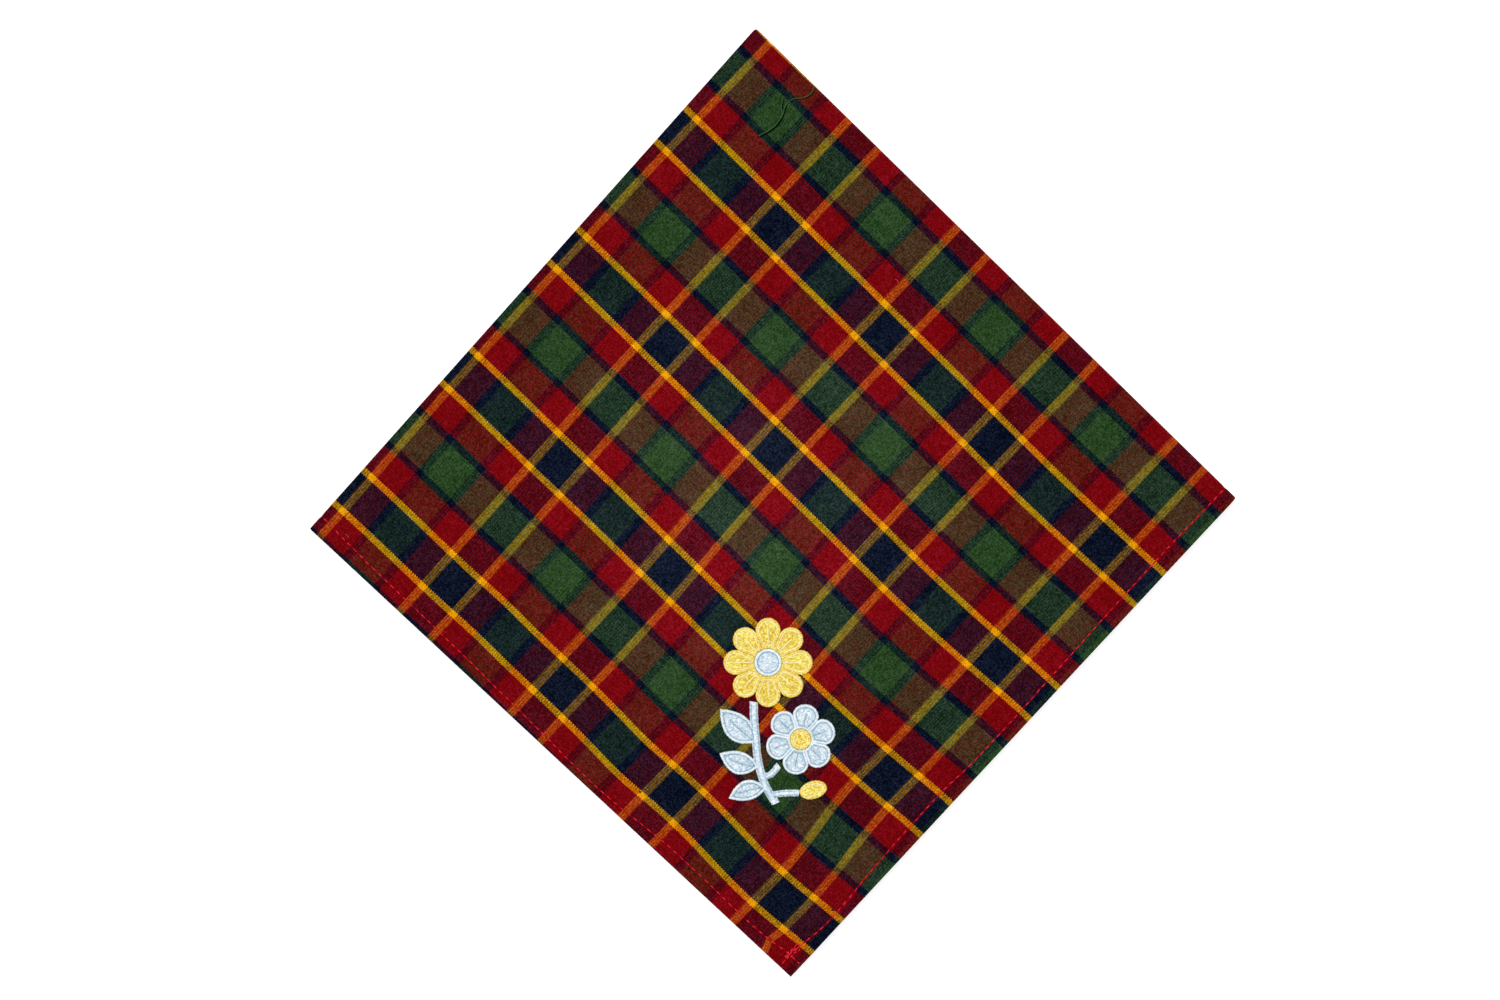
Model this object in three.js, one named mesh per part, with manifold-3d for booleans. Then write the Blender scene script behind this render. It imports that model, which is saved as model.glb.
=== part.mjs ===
// A square cotton neckerchief, hemmed all round and folded twice into a quarter,
// with a stitched spray of flowers near its hemmed corner.
// Millimetres. It lies on z = 0. +Z is up, and +Y points from the hemmed corner
// to the corner where the two folds meet. The origin is under the middle of the outline.

import * as THREE from 'three';
import { mergeVertices } from 'three/addons/utils/BufferGeometryUtils.js';
import Module from 'manifold-3d';

// The folded square seen from above: its corners, and the nominal length of its side
const CORNERS = {
  folded: { x: -6.5, y: 182.0 },
  left: { x: -177.6, y: -10.2 },
  right: { x: 177.6, y: 1.7 },
  hemmed: { x: 6.8, y: -182.0 },
};
const FOLDED_SIDE = 254;

// The sheet and its hem
const SHEET_THICKNESS = 1.0;
const LAYER_GAP = 0.35;
const HEM_WIDTH = 6;
const HEM_SHOULDER = 3;

// Cells of the sheet along one flat run, across a hem and round a fold
const FLAT_CELLS = 15;
const HEM_CELLS = 2;
const FOLD_CELLS = 8;

// How far the pile stands above its plain height at its hems, folds and creases
const HEM_RISE = 1.1;
const FOLD_RISE = 0.7;
const FOLD_REACH = 9;

// Soft ridges and troughs: place from the two folds, height, size and turn in degrees
const SWELLS = [
  { u: 206, v: 102, rise: 0.8, along: 48, across: 9, turn: 84 },
  { u: 226, v: 128, rise: -0.5, along: 40, across: 12, turn: 80 },
  { u: 214, v: 222, rise: 0.9, along: 46, across: 12, turn: 48 },
  { u: 150, v: 226, rise: 0.7, along: 44, across: 12, turn: 8 },
  { u: 232, v: 178, rise: 0.6, along: 26, across: 10, turn: 70 },
  { u: 118, v: 148, rise: 0.5, along: 60, across: 24, turn: 40 },
  { u: 60, v: 60, rise: 0.4, along: 52, across: 30, turn: 20 },
  { u: 70, v: 200, rise: 0.5, along: 50, across: 22, turn: -30 },
  { u: 190, v: 36, rise: 0.5, along: 46, across: 20, turn: 60 },
];

// How far each hem has slipped in from the outline, at its two ends and where it crosses a fold
const HEM_SLIPS = [
  { hem: 'left', leaf: 'outer', nearEnd: 0, atFold: 0, farEnd: 1.6 },
  { hem: 'left', leaf: 'inner', nearEnd: 1.0, atFold: 1.2, farEnd: 2.2 },
  { hem: 'right', leaf: 'outer', nearEnd: 0, atFold: 0, farEnd: 1.4 },
  { hem: 'right', leaf: 'inner', nearEnd: 1.8, atFold: 1.0, farEnd: 2.6 },
];

// The stitched spray: its middle, its thickness and the flat patch of cloth under it
const SPRAY = { x: 1.6, y: -80 };
const STITCH_THICKNESS = 1.0;
const STITCH_BEVEL = 0.3;
const PIECE_GAP = 0.3;
const CALM_INSIDE = 44;
const CALM_OUTSIDE = 62;

// Blooms, measured from the middle of the spray
const BLOOMS = [
  {
    name: 'bloom_upper', x: -3.5, y: 18.5, radius: 17, petals: 8, eye: 5.2, turn: 0, colour: 0xe9bd3f,
    eyeName: 'eye_upper', eyeColour: 0xb4c9d8,
  },
  {
    name: 'bloom_lower', x: 9, y: -11, radius: 13.5, petals: 6, eye: 3.9, turn: 18, colour: 0xb9cedb,
    eyeName: 'eye_lower', eyeColour: 0xe9bd3f,
  },
];
const PETAL_CLEFT = 0.34;
const PETAL_FULLNESS = 0.5;
const POINTS_PER_PETAL = 8;

// Stalks run from point to point, and leaves from root to tip, from the middle of the spray
const STALKS = [
  {
    name: 'main', width: 3.0,
    route: [[-9, 3.2], [-8.9, -2.5], [-8.3, -10], [-7.2, -20], [-4.4, -29], [-0.6, -35.4]],
  },
  { name: 'bloom', width: 2.4, route: [[-6, -25.5], [-2.4, -24.4], [0.5, -21.1]] },
  { name: 'bud', width: 2.4, route: [[-3, -32.4], [3, -31.6], [8.2, -31.6]] },
];
const LEAVES = [
  { root: [-7.8, -12], tip: [-21.8, 0.5], width: 10, bend: 1.6 },
  { root: [-7.2, -21.5], tip: [-22, -16.5], width: 8.5, bend: 2 },
  { root: [-4.2, -29.5], tip: [-18.5, -33.5], width: 7.5, bend: -2 },
];
const BUD = { name: 'bud', x: 13.8, y: -30.4, length: 10.5, width: 6.6, turn: 16, colour: 0xe9bd3f };

const CLOTH_COLOUR = 0x5d2418;
const LEAF_COLOUR = 0xb4c9d8;

const HALF_SHEET = SHEET_THICKNESS / 2;
const LAYER_PITCH = SHEET_THICKNESS + LAYER_GAP;
const PILE_HEIGHT = 4 * SHEET_THICKNESS + 3 * LAYER_GAP;
const PILE_MIDDLE = PILE_HEIGHT / 2;
const FIRST_FOLD_RADIUS = LAYER_PITCH / 2;
const FIRST_FOLD_REACH = FIRST_FOLD_RADIUS + HALF_SHEET;
const SECOND_FOLD_REACH = LAYER_PITCH + FIRST_FOLD_REACH;

const wasm = await Module();
wasm.setup();

// The place on the table at distance u from the second fold and v from the first
function onTable(u, v) {
  const p = u / FOLDED_SIDE;
  const q = v / FOLDED_SIDE;
  const mix = (axis) => (1 - p) * (1 - q) * CORNERS.folded[axis]
    + p * (1 - q) * CORNERS.left[axis]
    + (1 - p) * q * CORNERS.right[axis]
    + p * q * CORNERS.hemmed[axis];
  return { x: mix('x'), y: mix('y') };
}

// The height that a soft ridge or trough adds at a place
function swellHeight(swell, u, v) {
  const turn = THREE.MathUtils.degToRad(swell.turn);
  const du = u - swell.u;
  const dv = v - swell.v;
  const along = (du * Math.cos(turn) + dv * Math.sin(turn)) / swell.along;
  const across = (dv * Math.cos(turn) - du * Math.sin(turn)) / swell.across;
  return swell.rise * Math.exp(-along * along - across * across);
}

// How far the pile stands above its plain height at a place
function rise(u, v) {
  const toHem = FOLDED_SIDE - Math.max(u, v);
  const hem = HEM_RISE * (1 - THREE.MathUtils.smoothstep(toHem, HEM_WIDTH, HEM_WIDTH + HEM_SHOULDER));
  const fold = FOLD_RISE * Math.exp(-((Math.min(u, v) / FOLD_REACH) ** 2));
  const place = onTable(u, v);
  const toSpray = Math.hypot(place.x - SPRAY.x, place.y - SPRAY.y);
  const calm = THREE.MathUtils.smoothstep(toSpray, CALM_INSIDE, CALM_OUTSIDE);
  const swells = SWELLS.reduce((sum, swell) => sum + swellHeight(swell, u, v), 0);
  return hem + fold + calm * swells;
}

// Stations along the sheet across one fold, from the hem underneath to the hem on top.
// Each has its share of the flat run from fold to hem, its angle round the fold, and its side.
function makeStations() {
  const hemShare = 1 - HEM_WIDTH / FOLDED_SIDE;
  const shoulderShare = 1 - (HEM_WIDTH + HEM_SHOULDER) / FOLDED_SIDE;
  const shares = [];
  for (let i = 1; i <= FLAT_CELLS; i += 1) {
    shares.push((shoulderShare * i) / FLAT_CELLS);
  }
  for (let i = 0; i <= HEM_CELLS; i += 1) {
    shares.push(THREE.MathUtils.lerp(hemShare, 1, i / HEM_CELLS));
  }
  const under = shares.map((share) => ({ share, angle: Math.PI, side: -1 })).reverse();
  const top = shares.map((share) => ({ share, angle: 0, side: 1 }));
  const round = [];
  for (let i = 0; i <= FOLD_CELLS; i += 1) {
    round.push({ share: 0, angle: Math.PI * (1 - i / FOLD_CELLS), side: 1 });
  }
  return [...under, ...round, ...top];
}

// How far a hem lies inside the outline, at a station of the fold that it crosses
function slip(hem, leafStation, crossing) {
  const leaf = leafStation.side > 0 ? 'outer' : 'inner';
  const row = HEM_SLIPS.find((entry) => entry.hem === hem && entry.leaf === leaf);
  const end = crossing.side > 0 ? row.nearEnd : row.farEnd;
  return THREE.MathUtils.lerp(row.atFold, end, crossing.share);
}

// One point of the folded sheet. face is +1 on the right side of the cloth and -1 on the wrong side.
function foldedPoint(second, first, face) {
  const turn = FIRST_FOLD_RADIUS + face * HALF_SHEET;
  const reach = LAYER_PITCH + turn * Math.cos(first.angle);
  const runV = FOLDED_SIDE - FIRST_FOLD_REACH - slip('right', first, second);
  const runU = FOLDED_SIDE - SECOND_FOLD_REACH - slip('left', second, first);
  const v = FIRST_FOLD_REACH + first.share * runV - turn * Math.sin(first.angle);
  const u = SECOND_FOLD_REACH + second.share * runU - reach * Math.sin(second.angle);
  const z = PILE_MIDDLE + reach * Math.cos(second.angle);
  const place = onTable(u, v);
  return new THREE.Vector3(place.x, place.y, z * (1 + rise(u, v) / PILE_HEIGHT));
}

// The whole sheet as one closed solid, its four layers a little apart
function makeCloth() {
  const stations = makeStations();
  const cells = stations.length - 1;
  const geometry = new THREE.BoxGeometry(2, 2, 2, cells, cells, 1);
  const position = geometry.attributes.position;
  const station = (value) => stations[Math.round(((value + 1) / 2) * cells)];
  for (let i = 0; i < position.count; i += 1) {
    const point = foldedPoint(station(position.getX(i)), station(position.getY(i)), position.getZ(i));
    position.setXYZ(i, point.x, point.y, point.z);
  }
  return geometry;
}

// A flat stitched piece with softened rims, standing on z = 0
function stitched(shape) {
  const geometry = new THREE.ExtrudeGeometry(shape, {
    depth: STITCH_THICKNESS - STITCH_BEVEL,
    bevelEnabled: true,
    bevelThickness: STITCH_BEVEL,
    bevelSize: STITCH_BEVEL,
    bevelOffset: -STITCH_BEVEL,
    bevelSegments: 1,
    curveSegments: 12,
  });
  const position = geometry.attributes.position;
  for (let i = 0; i < position.count; i += 1) {
    position.setZ(i, Math.max(0, position.getZ(i)));
  }
  return geometry;
}

// Petals round an open middle, from one formula: the rim swells at each petal and dips between two
function bloomShape(bloom) {
  const points = [];
  const steps = bloom.petals * POINTS_PER_PETAL;
  for (let i = 0; i < steps; i += 1) {
    const angle = (2 * Math.PI * i) / steps;
    const swell = Math.abs(Math.cos((bloom.petals * angle) / 2)) ** PETAL_FULLNESS;
    const radius = bloom.radius * (1 - PETAL_CLEFT * (1 - swell));
    const turned = angle + THREE.MathUtils.degToRad(bloom.turn);
    points.push(new THREE.Vector2(radius * Math.cos(turned), radius * Math.sin(turned)));
  }
  const shape = new THREE.Shape(points);
  const middle = new THREE.Path();
  middle.absarc(0, 0, bloom.eye + PIECE_GAP, 0, 2 * Math.PI, true);
  shape.holes.push(middle);
  return shape;
}

// A round eye or a long bud
function ovalShape(length, width) {
  const shape = new THREE.Shape();
  shape.absellipse(0, 0, length / 2, width / 2, 0, 2 * Math.PI, false, 0);
  return shape;
}

// A band of even width along a smooth route
function stalkShape(stalk) {
  const route = new THREE.SplineCurve(stalk.route.map(([x, y]) => new THREE.Vector2(x, y)));
  const steps = 12;
  const left = [];
  const right = [];
  for (let i = 0; i <= steps; i += 1) {
    const point = route.getPoint(i / steps);
    const along = route.getTangent(i / steps);
    const aside = new THREE.Vector2(-along.y, along.x).multiplyScalar(stalk.width / 2);
    left.push(point.clone().add(aside));
    right.push(point.clone().sub(aside));
  }
  return new THREE.Shape([...right, ...left.reverse()]);
}

// A pointed leaf between its root and its tip, fuller on one side by its bend
function leafShape(leaf) {
  const root = new THREE.Vector2(...leaf.root);
  const tip = new THREE.Vector2(...leaf.tip);
  const along = tip.clone().sub(root);
  const aside = new THREE.Vector2(-along.y, along.x).normalize();
  const middle = root.clone().lerp(tip, 0.45);
  const upper = middle.clone().addScaledVector(aside, leaf.width + leaf.bend);
  const lower = middle.clone().addScaledVector(aside, leaf.bend - leaf.width);
  const shape = new THREE.Shape();
  shape.moveTo(root.x, root.y);
  shape.quadraticCurveTo(lower.x, lower.y, tip.x, tip.y);
  shape.quadraticCurveTo(upper.x, upper.y, root.x, root.y);
  return shape;
}

function toSolid(geometry) {
  const plain = geometry.clone();
  plain.deleteAttribute('normal');
  plain.deleteAttribute('uv');
  const merged = mergeVertices(plain.index ? plain.toNonIndexed() : plain);
  return new wasm.Manifold(new wasm.Mesh({
    numProp: 3,
    vertProperties: new Float32Array(merged.attributes.position.array),
    triVerts: new Uint32Array(merged.index.array),
  }));
}

function fromSolid(solid) {
  const mesh = solid.getMesh();
  const geometry = new THREE.BufferGeometry();
  geometry.setAttribute('position', new THREE.Float32BufferAttribute(mesh.vertProperties, 3));
  geometry.setIndex(Array.from(mesh.triVerts));
  geometry.computeVertexNormals();
  return geometry;
}

// Stalks and leaves, worked as one piece of stitching
function makeSprig() {
  const outlines = [...STALKS.map(stalkShape), ...LEAVES.map(leafShape)];
  const solids = outlines.map((outline) => toSolid(stitched(outline)));
  return fromSolid(solids.reduce((whole, solid) => whole.add(solid)));
}

function makeMesh(name, geometry, colour, roughness) {
  const material = new THREE.MeshStandardMaterial({ color: colour, roughness, metalness: 0 });
  const mesh = new THREE.Mesh(geometry, material);
  mesh.name = name;
  return mesh;
}

// The stitched spray, a little above the flat patch of cloth
function makeSpray() {
  const spray = new THREE.Group();
  spray.position.set(SPRAY.x, SPRAY.y, PILE_HEIGHT + PIECE_GAP);
  for (const bloom of BLOOMS) {
    const petals = makeMesh(bloom.name, stitched(bloomShape(bloom)), bloom.colour, 0.5);
    const eye = makeMesh(bloom.eyeName, stitched(ovalShape(2 * bloom.eye, 2 * bloom.eye)), bloom.eyeColour, 0.5);
    petals.position.set(bloom.x, bloom.y, 0);
    eye.position.set(bloom.x, bloom.y, 0);
    spray.add(petals, eye);
  }
  const bud = makeMesh(BUD.name, stitched(ovalShape(BUD.length, BUD.width)), BUD.colour, 0.5);
  bud.position.set(BUD.x, BUD.y, 0);
  bud.rotation.z = THREE.MathUtils.degToRad(BUD.turn);
  spray.add(bud, makeMesh('sprig', makeSprig(), LEAF_COLOUR, 0.5));
  return spray;
}

const group = new THREE.Group();
group.add(makeMesh('kerchief', makeCloth(), CLOTH_COLOUR, 0.9));
group.add(makeSpray());

export default group;
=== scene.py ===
"""The folded check neckerchief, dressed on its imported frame.

One square of woven check cotton is folded twice, its hems are topstitched in red,
and a spray of flowers is embroidered near the hemmed corner. Lengths are in
millimetres, as in the part's own source, and become metres as each mesh is made.
A place on the folded cloth is given by u, its distance from the second fold, and
v, its distance from the first. A spot of the embroidery is x + yj, seen from above.
"""

import cmath
import logging
import math
import random
from dataclasses import dataclass, field
from enum import Enum
from typing import Any, Iterable, Sequence, TypeVar

import bmesh
import bpy
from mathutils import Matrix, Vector, noise


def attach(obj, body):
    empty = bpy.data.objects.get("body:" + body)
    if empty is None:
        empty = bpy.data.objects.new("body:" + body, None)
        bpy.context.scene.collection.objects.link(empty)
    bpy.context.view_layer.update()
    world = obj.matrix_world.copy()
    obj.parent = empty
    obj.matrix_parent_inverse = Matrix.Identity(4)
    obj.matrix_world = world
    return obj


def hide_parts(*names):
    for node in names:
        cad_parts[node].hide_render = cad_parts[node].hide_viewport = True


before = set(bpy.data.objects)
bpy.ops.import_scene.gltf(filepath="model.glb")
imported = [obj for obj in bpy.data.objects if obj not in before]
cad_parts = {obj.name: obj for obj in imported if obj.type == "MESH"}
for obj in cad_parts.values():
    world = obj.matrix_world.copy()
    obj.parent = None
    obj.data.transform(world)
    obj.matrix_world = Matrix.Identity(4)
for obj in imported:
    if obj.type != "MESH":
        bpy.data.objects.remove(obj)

LOG = logging.getLogger("neckerchief")

MM = 0.001
BODY = "root"
WEAVE_MAP = "ClothWeave"

Material = bpy.types.Material
Piece = bpy.types.Object
Socket = bpy.types.NodeSocket
Point = tuple[float, float]
Triple = tuple[float, float, float]
Loop = list[complex]
Knot = TypeVar("Knot", complex, Vector)


def smoothstep(value: float, low: float, high: float) -> float:
    """Rise smoothly from 0 at low to 1 at high."""
    share = min(1.0, max(0.0, (value - low) / (high - low)))
    return share * share * (3.0 - 2.0 * share)


def between(table: Sequence[Point], value: float) -> float:
    """Read a smooth line through a short table.

    Args:
        table: Rows of place and value, in rising order of place.
        value: The place that is looked up.

    Returns:
        The value there, eased between its two neighbours.
    """
    if value <= table[0][0]:
        return table[0][1]
    for (start, low), (end, high) in zip(table, table[1:]):
        if value <= end:
            return low + (high - low) * smoothstep(value, start, end)
    return table[-1][1]


def smooth_line(knots: Sequence[Knot], steps: int) -> list[Knot]:
    """Lay a smooth line from the second knot to the last but one.

    Args:
        knots: The knots. The outer two only steer the ends.
        steps: How many points each span between two knots gets.

    Returns:
        The line's points.
    """
    line = []
    for before, start, end, after in zip(knots, knots[1:], knots[2:], knots[3:]):
        for t in (i / steps for i in range(steps)):
            line.append(0.5 * (
                2 * start
                + (end - before) * t
                + (2 * before - 5 * start + 4 * end - after) * t * t
                + (3 * start - before - 3 * end + after) * t * t * t
            ))
    return [*line, knots[-2]]


@dataclass(frozen=True)
class Swell:
    """A soft ridge or trough: its place, height, two reaches and turn in degrees.

    It also serves for yarns that handling has pulled out of line. There its height
    is how far they lie aside.
    """

    u: float
    v: float
    rise: float
    along: float
    across: float
    turn: float = 0.0

    def height(self, u: float, v: float) -> float:
        """Measure the swell at one place."""
        way = complex(u - self.u, v - self.v) * cmath.rect(1.0, -math.radians(self.turn))
        return self.rise * math.exp(-((way.real / self.along) ** 2) - (way.imag / self.across) ** 2)


def swelling(swells: Iterable[Swell], u: float, v: float) -> float:
    """Add up the heights of some swells at one place."""
    return sum(swell.height(u, v) for swell in swells)


SWELLS = (
    Swell(206, 102, 0.8, 48, 9, 84),
    Swell(226, 128, -0.5, 40, 12, 80),
    Swell(214, 222, 0.9, 46, 12, 48),
    Swell(150, 226, 0.7, 44, 12, 8),
    Swell(232, 178, 0.6, 26, 10, 70),
    Swell(118, 148, 0.5, 60, 24, 40),
    Swell(60, 60, 0.4, 52, 30, 20),
    Swell(70, 200, 0.5, 50, 22, -30),
    Swell(190, 36, 0.5, 46, 20, 60),
)

PULLS_ACROSS_WARP = (
    Swell(118, 137, 0.82, 99, 63),
    Swell(159, 200, 1.02, 36, 55),
    Swell(240, 153, 1.31, 40, 19),
    Swell(244, 221, 2.40, 54, 29),
    Swell(139, 252, -1.24, 67, 24),
    Swell(232, 74, -0.42, 57, 14),
    Swell(191, 14, -0.41, 92, 29),
    Swell(64, 199, 1.28, 42, 40),
    Swell(142, 184, 0.96, 39, 29),
    Swell(0, 14, 3.5, 3.2, 30),
    Swell(254, 50, -0.6, 4, 45),
)

PULLS_ACROSS_WEFT = (
    Swell(-22, -35, 3.02, 72, 167),
    Swell(-14, 162, 0.79, 58, 82),
    Swell(180, 20, -0.84, 50, 33),
    Swell(224, 237, 2.21, 48, 40),
    Swell(202, 152, 2.42, 50, 69),
    Swell(217, 120, -1.09, 47, 41),
    Swell(189, 219, -2.49, 23, 30),
    Swell(135, 116, -0.66, 53, 128),
    Swell(125, 239, 0.64, 29, 30),
    Swell(248.6, 238.5, -0.8, 3.0, 10),
    Swell(254, 240, 0.9, 2.6, 10),
)


class Hem(Enum):
    """The two hemmed edges of the folded square."""

    LEFT = "left"
    RIGHT = "right"


@dataclass(frozen=True)
class Station:
    """A line of the cloth across one fold.

    share is its part of the flat run from fold to hem, angle its turn round the
    fold (0 on top, pi underneath), side +1 on top, to_edge its distance from the
    hem's edge and along its distance along the cloth from the crest of the fold.
    """

    share: float
    angle: float
    side: int
    to_edge: float
    along: float


@dataclass
class Kerchief:
    """The hemmed square of cotton, folded twice.

    Its corners are the folded one, the left one, the right one and the hemmed one.
    A ripple's columns are its height, length and seed. A slip's are how far a hem
    has slipped in at its near end, at the fold and at its far end. A seam's are the
    distance along its hem from the fold and its distance in from the edge.
    """

    corners: tuple[Point, ...] = ((-6.5, 182.0), (-177.6, -10.2), (177.6, 1.7), (6.8, -182.0))
    side: float = 254.0
    thickness: float = 0.42
    pile_height: float = 5.05
    hem_rise: float = 1.1
    hem_width: float = 6.0
    hem_shoulder: float = 3.0
    hem_thickness: float = 1.0
    hem_step: Point = (5.3, 6.3)
    hem_round: float = 0.5
    least_fullness: float = 0.12
    fold_rise: float = 0.7
    fold_reach: float = 9.0
    calm_middle: Point = (1.6, -80.0)
    calm_reach: Point = (44.0, 62.0)
    ripples: tuple[Triple, ...] = ((0.16, 27.0, 3.7), (0.05, 8.0, 9.1))
    groove_depth: float = 0.2
    groove_reach: float = 0.9
    flat_size: float = 508.0
    handled_from: float = -40.0
    top_cells: int = 139
    under_cells: int = 36
    fold_cells: int = 12
    top_hem_lines: tuple[float, ...] = (
        8.6, 7.7, 7.0, 6.4, 5.8, 5.2, 4.6, 4.0, 3.4, 2.8, 2.2, 1.6, 1.0, 0.5, 0.28, 0.12, 0.03, 0.0,
    )
    under_hem_lines: tuple[float, ...] = (
        7.2, 6.3, 5.7, 4.6, 3.0, 1.5, 0.5, 0.28, 0.12, 0.03, 0.0,
    )
    slips: dict[tuple[Hem, int], Triple] = field(default_factory=lambda: {
        (Hem.LEFT, 1): (0.0, 0.0, 1.6),
        (Hem.LEFT, -1): (1.0, 1.2, 2.2),
        (Hem.RIGHT, 1): (0.0, 0.0, 1.4),
        (Hem.RIGHT, -1): (1.8, 1.0, 2.6),
    })
    left_seam: tuple[Point, ...] = (
        (0, 6.6), (14, 5.9), (28, 5.4), (50, 5.1), (76, 4.7), (96, 4.1),
        (119, 3.5), (134, 2.8), (148, 2.5), (160, 2.9), (172, 3.9), (184, 4.8), (200, 4.9),
        (222, 4.5), (229, 4.5), (236, 4.8), (241, 5.4), (246, 6.1), (254, 6.1),
    )
    right_seam: tuple[Point, ...] = (
        (0, 5.7), (34, 6.1), (62, 5.9), (96, 5.3), (122, 4.8), (142, 4.8),
        (164, 6.0), (184, 5.8), (202, 5.2), (218, 4.2), (226, 3.9), (233, 4.2), (239, 5.1),
        (246, 6.4), (254, 5.9),
    )

    def __post_init__(self) -> None:
        """Work out the layers' pitch and the reach of each fold."""
        self.half = self.thickness / 2
        self.pitch = (self.pile_height - self.thickness) / 3
        self.middle = self.pile_height / 2
        self.first_radius = self.pitch / 2
        self.first_reach = self.first_radius + self.half
        self.second_reach = self.pitch + self.first_reach

    def place(self, u: float, v: float) -> Point:
        """Find a place on the table.

        Args:
            u: Distance from the second fold.
            v: Distance from the first fold.

        Returns:
            Its x and y.
        """
        p, q = u / self.side, v / self.side
        shares = (1 - p) * (1 - q), p * (1 - q), (1 - p) * q, p * q
        x, y = (sum(s * c for s, c in zip(shares, axis)) for axis in zip(*self.corners))
        return x, y

    def distances(self, x: float, y: float) -> Point:
        """Find how far a place on the table is from the two folds.

        Args:
            x: Its x.
            y: Its y.

        Returns:
            The distances u and v, by a few steps of Newton's method.
        """
        u = v = self.side / 2
        for _ in range(8):
            here = complex(*self.place(u, v))
            along = complex(*self.place(u + 1, v)) - here
            aside = complex(*self.place(u, v + 1)) - here
            away = complex(x, y) - here
            scale = (along.conjugate() * aside).imag
            u += (away.conjugate() * aside).imag / scale
            v += (along.conjugate() * away).imag / scale
        return u, v

    def rise(self, u: float, v: float) -> float:
        """Measure how far the pile stands above its plain height.

        Args:
            u: Distance from the second fold.
            v: Distance from the first fold.

        Returns:
            The rise.
        """
        to_hem = self.side - max(u, v)
        hem = 1 - smoothstep(to_hem, self.hem_width, self.hem_width + self.hem_shoulder)
        fold = math.exp(-((min(u, v) / self.fold_reach) ** 2))
        x, y = self.place(u, v)
        calm = smoothstep(math.dist((x, y), self.calm_middle), *self.calm_reach)
        uneven = swelling(SWELLS, u, v)
        for height, length, seed in self.ripples:
            uneven += height * noise.noise(Vector((x / length, y / length, seed)))
        return self.hem_rise * hem + self.fold_rise * fold + calm * uneven

    def seam_inset(self, hem: Hem, along: float) -> float:
        """Read how far in from its edge a hem is stitched, at a distance along it."""
        return between(self.left_seam if hem is Hem.LEFT else self.right_seam, along)

    def groove(self, to_edges: Point, u: float, v: float) -> float:
        """Measure how deep the stitching draws the right side of the cloth in.

        Args:
            to_edges: Distances from the left hem's edge and from the right one's.
            u: Distance from the second fold.
            v: Distance from the first fold.

        Returns:
            The depth.
        """
        insets = self.seam_inset(Hem.LEFT, v), self.seam_inset(Hem.RIGHT, u)
        away = min(abs(edge - inset) for edge, inset in zip(to_edges, insets)) / self.groove_reach
        return self.groove_depth * math.exp(-away * away)

    def top(self, u: float, v: float) -> float:
        """Measure the height of the uppermost face of the cloth above the table."""
        to_edges = self.side - u, self.side - v
        return self.pile_height + self.rise(u, v) - self.groove(to_edges, u, v)

    def over(self, u: float, v: float) -> Vector:
        """Find the point on top of the cloth at distances from the folds."""
        return Vector((*self.place(u, v), self.top(u, v)))

    def stations(self, reach: float) -> list[Station]:
        """Lay out the lines of the cloth across one fold, from hem to hem.

        Args:
            reach: The fold's outer radius, by which its crest stands out.

        Returns:
            The stations, from the hem underneath to the hem on top.
        """
        run = self.side - reach

        def leaf(side: int, angle: float, cells: int, hem_lines: Sequence[float]) -> list[Station]:
            """Lay out one leaf in even cells from the fold, then by the hem's own lines."""
            even = [(run - hem_lines[0]) * i / cells for i in range(1, cells)]
            return [
                Station(way / run, angle, side, run - way, reach - reach * angle + side * way)
                for way in (*even, *(run - line for line in hem_lines))
            ]

        under = leaf(-1, math.pi, self.under_cells, self.under_hem_lines)
        angles = (math.pi * (1 - i / self.fold_cells) for i in range(self.fold_cells + 1))
        bend = [Station(0.0, angle, 1, run, reach - reach * angle) for angle in angles]
        top = leaf(1, 0.0, self.top_cells, self.top_hem_lines)
        return [*reversed(under), *bend, *top]

    def slip(self, hem: Hem, leaf: Station, crossing: Station) -> float:
        """Measure how far a hem of one leaf lies inside the outline, at a crossing line."""
        near_end, at_fold, far_end = self.slips[hem, leaf.side]
        return at_fold + ((near_end if crossing.side > 0 else far_end) - at_fold) * crossing.share

    def faces(self, to_edges: Point, u: float, v: float) -> Point:
        """Measure how far the two sides of the cloth stand from its middle surface.

        Args:
            to_edges: Distances from the left hem's edge and from the right one's.
            u: Distance from the second fold.
            v: Distance from the first fold.

        Returns:
            The right side's offset and the wrong side's.
        """
        to_edge = min(to_edges)
        turned_in = 1 - smoothstep(to_edge, *self.hem_step)
        wrong = -self.half - (self.hem_thickness - self.thickness) * turned_in
        right = self.half - self.groove(to_edges, u, v)
        if to_edge >= self.hem_round:
            return right, wrong
        near = 1 - to_edge / self.hem_round
        fullness = max(self.least_fullness, math.sqrt(max(0.0, 1 - near * near)))
        middle = (right + wrong) / 2
        return middle + (right - middle) * fullness, middle + (wrong - middle) * fullness

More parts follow.
